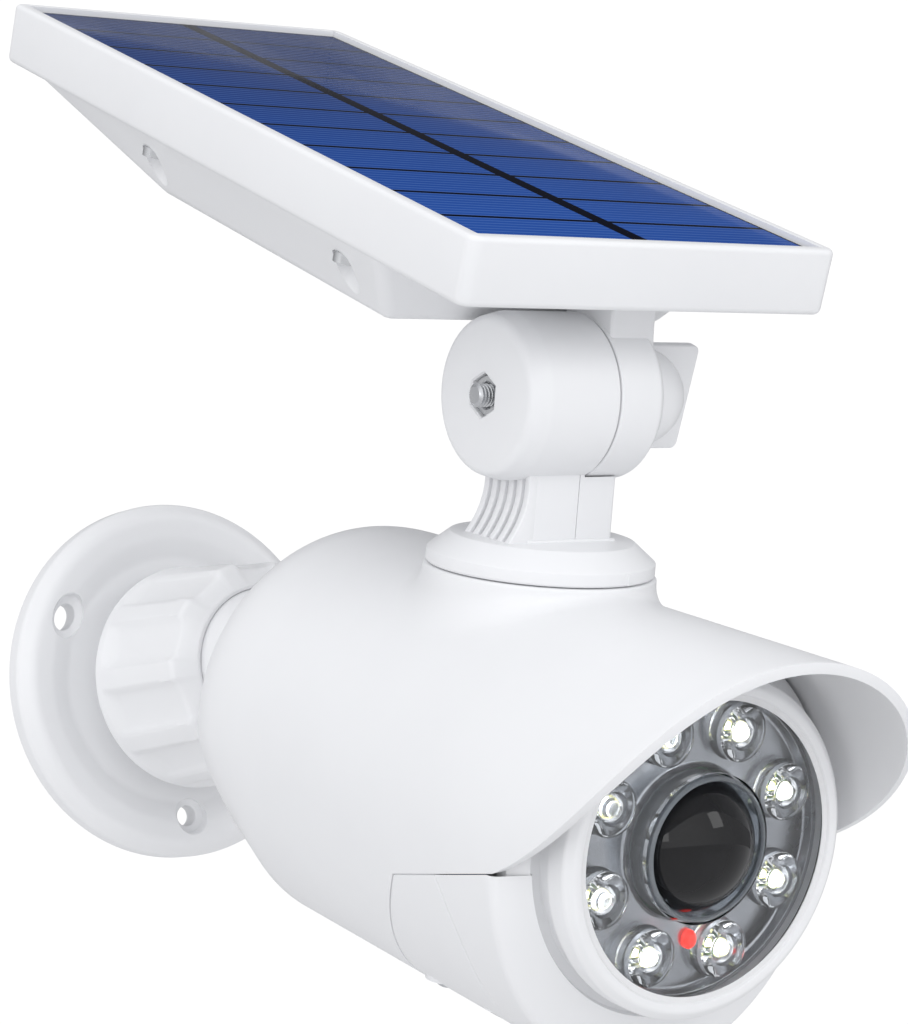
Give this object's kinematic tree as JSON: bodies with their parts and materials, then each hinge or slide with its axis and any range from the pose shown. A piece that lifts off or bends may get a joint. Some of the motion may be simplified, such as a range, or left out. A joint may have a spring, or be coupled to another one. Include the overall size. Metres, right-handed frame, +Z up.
{
  "type": "solar security light",
  "caption": "White bullet-shaped solar motion light: LED lamp under a sun visor, tilting solar panel on a swivel hinge, and a ball-jointed round wall plate.",
  "frame": {"origin": "centre of the wall plate's back face", "axes": "+Y into the wall, the lamp looks along -Y and 17 degrees down, +X to the right seen from the front, +Z up"},
  "size_m": [0.0936, 0.2452, 0.2573],
  "materials": {
    "white_plastic": "satin moulded",
    "clear_plastic": "clear polished",
    "smoked_plastic": "smoked gloss",
    "steel": "zinc plated",
    "reflector_plastic": "metallised",
    "board": "solder mask",
    "phosphor": "silicone over phosphor",
    "indicator": "diffused",
    "black_rubber": "matt",
    "black_plastic": "matt moulded",
    "cell_wrap": "shrink wrapped",
    "solar_glass": "clear laminate",
    "solar_cell": "blue silicon",
    "wire": "insulated"
  },
  "bodies": {
    "mount": {"wall_plate": "white_plastic"},
    "ring": {"clamp_ring": "white_plastic"},
    "joint_core": {"ball_core": "black_plastic"},
    "joint_liner": {"ball_liner": "black_plastic"},
    "head": {"ball_stem": "white_plastic", "stem_screw": "steel", "top_shell": "white_plastic", "belly_cover": "white_plastic", "front_housing": "white_plastic", "bezel_ring": "white_plastic", "window_gasket": "black_rubber", "front_window": "clear_plastic", "reflector": "reflector_plastic", "led_lenses": "clear_plastic", "led_board": "board", "led_emitters": "phosphor", "indicator_led": "indicator", "sensor_dome": "smoked_plastic", "dome_ring": "clear_plastic", "sensor_can": "steel", "control_board": "board", "battery_cell": "cell_wrap", "battery_cradle": "black_plastic", "battery_contacts": "steel", "cover_screws": "steel", "button_boot": "black_rubber", "tact_switch": "black_plastic"},
    "button": {"mode_button": "black_rubber"},
    "swivel": {"swivel_base": "white_plastic", "swivel_washer": "steel", "swivel_screw": "steel", "hinge_nut": "steel"},
    "wing": {"wing_knob": "white_plastic", "hinge_bolt": "steel"},
    "panel": {"friction_washer": "steel", "panel_arm": "white_plastic", "panel_frame": "white_plastic", "panel_glass": "solar_glass", "cell_strips": "solar_cell", "panel_cover": "white_plastic", "panel_screws": "steel", "charge_board": "board", "panel_lead": "wire"}
  },
  "joints": [
    {"name": "ring_turn", "type": "hinge", "parent": "mount", "child": "ring", "pos_m": [0, -0.042, 0], "axis": [0, -1, 0], "range_deg": [0, 180]},
    {"name": "head_pan", "type": "hinge", "parent": "mount", "child": "joint_core", "pos_m": [0, -0.042, 0], "axis": [0, 0, 1], "range_deg": [-20, 20]},
    {"name": "head_tilt", "type": "hinge", "parent": "joint_core", "child": "joint_liner", "pos_m": [0, -0.042, 0], "axis": [1, 0, 0], "range_deg": [-35, 5]},
    {"name": "head_roll", "type": "hinge", "parent": "joint_liner", "child": "head", "pos_m": [0, -0.042, 0], "axis": [0, -0.9563, -0.2924], "range_deg": [-90, 90]},
    {"name": "button_press", "type": "slide", "parent": "head", "child": "button", "axis": [0, -0.2924, 0.9563], "range_m": [0, 0.0015], "stiffness_N_per_m": 600, "springref_m": -0.001},
    {"name": "panel_swivel", "type": "hinge", "parent": "head", "child": "swivel", "pos_m": [0, -0.16439, 0.01486], "axis": [0, -0.2924, 0.9563], "range_deg": [-170, 170]},
    {"name": "panel_tilt", "type": "hinge", "parent": "swivel", "child": "panel", "pos_m": [0, -0.17369, 0.04528], "axis": [1, 0, 0], "range_deg": [-25, 50]},
    {"name": "wing_turn", "type": "hinge", "parent": "swivel", "child": "wing", "pos_m": [0, -0.17369, 0.04528], "axis": [1, 0, 0], "continuous": true}
  ]
}
